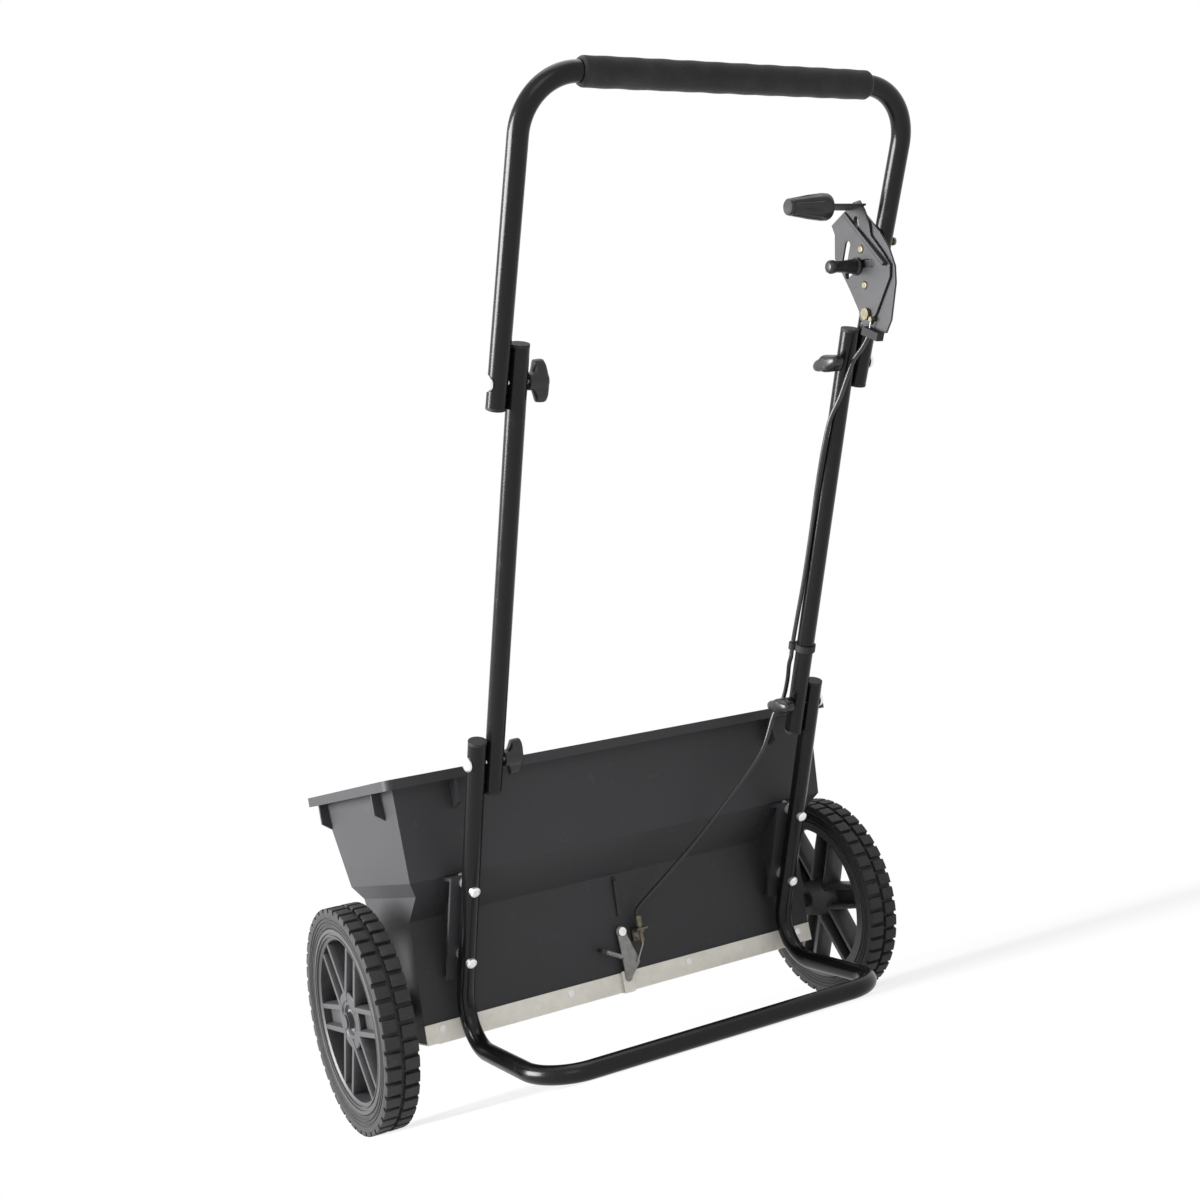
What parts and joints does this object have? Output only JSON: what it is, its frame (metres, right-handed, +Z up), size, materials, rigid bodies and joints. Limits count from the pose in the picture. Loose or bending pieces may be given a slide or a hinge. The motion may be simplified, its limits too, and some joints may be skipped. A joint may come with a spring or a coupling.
{
  "type": "push drop spreader",
  "caption": "Push drop spreader: long tapered hopper on two spoked wheels, tube stand, folding U handle, and a flow lever whose cable slides the outlet shutter.",
  "frame": {"origin": "on the floor, under the centre of the parked machine's bounding box, in the plane of symmetry of hopper and handle", "axes": "+X to the right along the axle, +Y forwards in the direction of travel, +Z up from the floor"},
  "size_m": [0.6772, 0.8505, 0.8566],
  "materials": {
    "hopper_plastic": "fine-grained moulded black polypropylene",
    "sheet_zinc": "galvanised sheet, dull cream-grey",
    "tube_black": "gloss black powder coat on steel tube",
    "steel_zinc": "bright zinc-plated steel",
    "brass_zinc": "yellow-passivated steel and brass",
    "stamped_grey": "dark grey coated stamped steel",
    "knob_black": "smooth black moulded plastic",
    "plug_black": "soft matt black plastic",
    "wheel_black": "satin black moulded plastic",
    "tyre_black": "dull black tread compound",
    "foam_black": "fine-celled black foam",
    "casing_black": "slick black cable casing",
    "spring_steel": "drawn spring wire"
  },
  "bodies": {
    "chassis": {"hopper": "hopper_plastic", "outlet_pan": "sheet_zinc", "pan_screws": "steel_zinc", "shutter_rivets": "steel_zinc", "axle_bush_left": "plug_black", "axle_bush_right": "plug_black", "stand_frame": "tube_black", "stand_plugs": "plug_black", "frame_bolts": "steel_zinc", "frame_washers": "steel_zinc", "lower_knob_bolts": "steel_zinc", "cable_lower": "casing_black", "cable_bracket": "brass_zinc", "bracket_screws": "steel_zinc", "cable_adjuster": "brass_zinc", "adjuster_nut": "brass_zinc", "crank_pivot": "steel_zinc", "return_spring": "spring_steel"},
    "axle_set": {"axle": "steel_zinc", "agitator": "knob_black", "axle_spacers": "plug_black", "axle_washers": "steel_zinc", "hub_cap_left": "knob_black", "hub_cap_right": "knob_black", "wheel_right": "wheel_black", "tyre_right": "tyre_black"},
    "left_wheel": {"wheel_left": "wheel_black", "tyre_left": "tyre_black"},
    "middle_handle": {"middle_tube_left": "tube_black", "middle_tube_right": "tube_black", "middle_plugs": "plug_black", "cable_clip": "plug_black", "cable_middle": "casing_black"},
    "upper_handle": {"upper_handle": "tube_black", "handle_plugs": "plug_black", "foam_grip": "foam_black", "upper_knob_bolts": "steel_zinc", "control_plate": "stamped_grey", "control_bolts": "brass_zinc", "cable_clamp": "plug_black", "lever_pivot": "brass_zinc", "cable_upper": "casing_black"},
    "lower_knob_left_body": {"lower_knob_left": "knob_black"},
    "lower_knob_right_body": {"lower_knob_right": "knob_black"},
    "upper_knob_left_body": {"upper_knob_left": "knob_black"},
    "upper_knob_right_body": {"upper_knob_right": "knob_black"},
    "flow_lever": {"control_lever": "stamped_grey", "lever_grip": "knob_black", "wire_nipple": "brass_zinc", "lever_wire": "spring_steel"},
    "stop": {"stop_bolt": "brass_zinc", "stop_knob": "knob_black"},
    "crank": {"crank_lever": "steel_zinc", "shutter_wire": "spring_steel"},
    "shutter": {"shutter_plate": "sheet_zinc"}
  },
  "joints": [
    {"name": "axle_spin", "type": "hinge", "parent": "chassis", "child": "axle_set", "pos_m": [0, 0.30027, 0.125], "axis": [1, 0, 0], "continuous": true},
    {"name": "left_wheel_spin", "type": "hinge", "parent": "axle_set", "child": "left_wheel", "pos_m": [0, 0.30027, 0.125], "axis": [1, 0, 0], "continuous": true},
    {"name": "lower_fold", "type": "hinge", "parent": "chassis", "child": "middle_handle", "pos_m": [0, 0.05494, 0.33692], "axis": [1, 0, 0], "range_deg": [-105, 30], "deforming": ["cable_lower"]},
    {"name": "upper_fold", "type": "hinge", "parent": "middle_handle", "child": "upper_handle", "pos_m": [0, -0.21311, 0.64051], "axis": [1, 0, 0], "range_deg": [-80, 40], "deforming": ["cable_upper"]},
    {"name": "lower_knob_left_turn", "type": "hinge", "parent": "chassis", "child": "lower_knob_left_body", "pos_m": [-0.17, 0.05494, 0.33692], "axis": [1, 0, 0], "continuous": true},
    {"name": "lower_knob_right_turn", "type": "hinge", "parent": "chassis", "child": "lower_knob_right_body", "pos_m": [0.17, 0.05494, 0.33692], "axis": [1, 0, 0], "continuous": true},
    {"name": "upper_knob_left_turn", "type": "hinge", "parent": "upper_handle", "child": "upper_knob_left_body", "pos_m": [-0.17, -0.21311, 0.64051], "axis": [1, 0, 0], "continuous": true},
    {"name": "upper_knob_right_turn", "type": "hinge", "parent": "upper_handle", "child": "upper_knob_right_body", "pos_m": [0.17, -0.21311, 0.64051], "axis": [1, 0, 0], "continuous": true},
    {"name": "lever_swing", "type": "hinge", "parent": "upper_handle", "child": "flow_lever", "pos_m": [0.2018, -0.26373, 0.67071], "axis": [-1, 0, 0], "range_deg": [0, 28], "deforming": ["lever_wire"]},
    {"name": "stop_slide", "type": "hinge", "parent": "upper_handle", "child": "stop", "pos_m": [0.2018, -0.26373, 0.67071], "axis": [-1, 0, 0], "range_deg": [0, 20]},
    {"name": "crank_swing", "type": "hinge", "parent": "chassis", "child": "crank", "pos_m": [-0.006, 0.24915, 0.14286], "axis": [0, -0.9865, -0.1641], "range_deg": [0, 11.8], "deforming": ["shutter_wire", "return_spring"]},
    {"name": "shutter_slide", "type": "slide", "parent": "chassis", "child": "shutter", "axis": [1, 0, 0], "range_m": [0, 0.0111]}
  ],
  "couplings": [
    {"joint": "crank_swing", "follows": "lever_swing", "ratio": 0.41977},
    {"joint": "shutter_slide", "follows": "lever_swing", "m_per_rad": 0.022509}
  ]
}
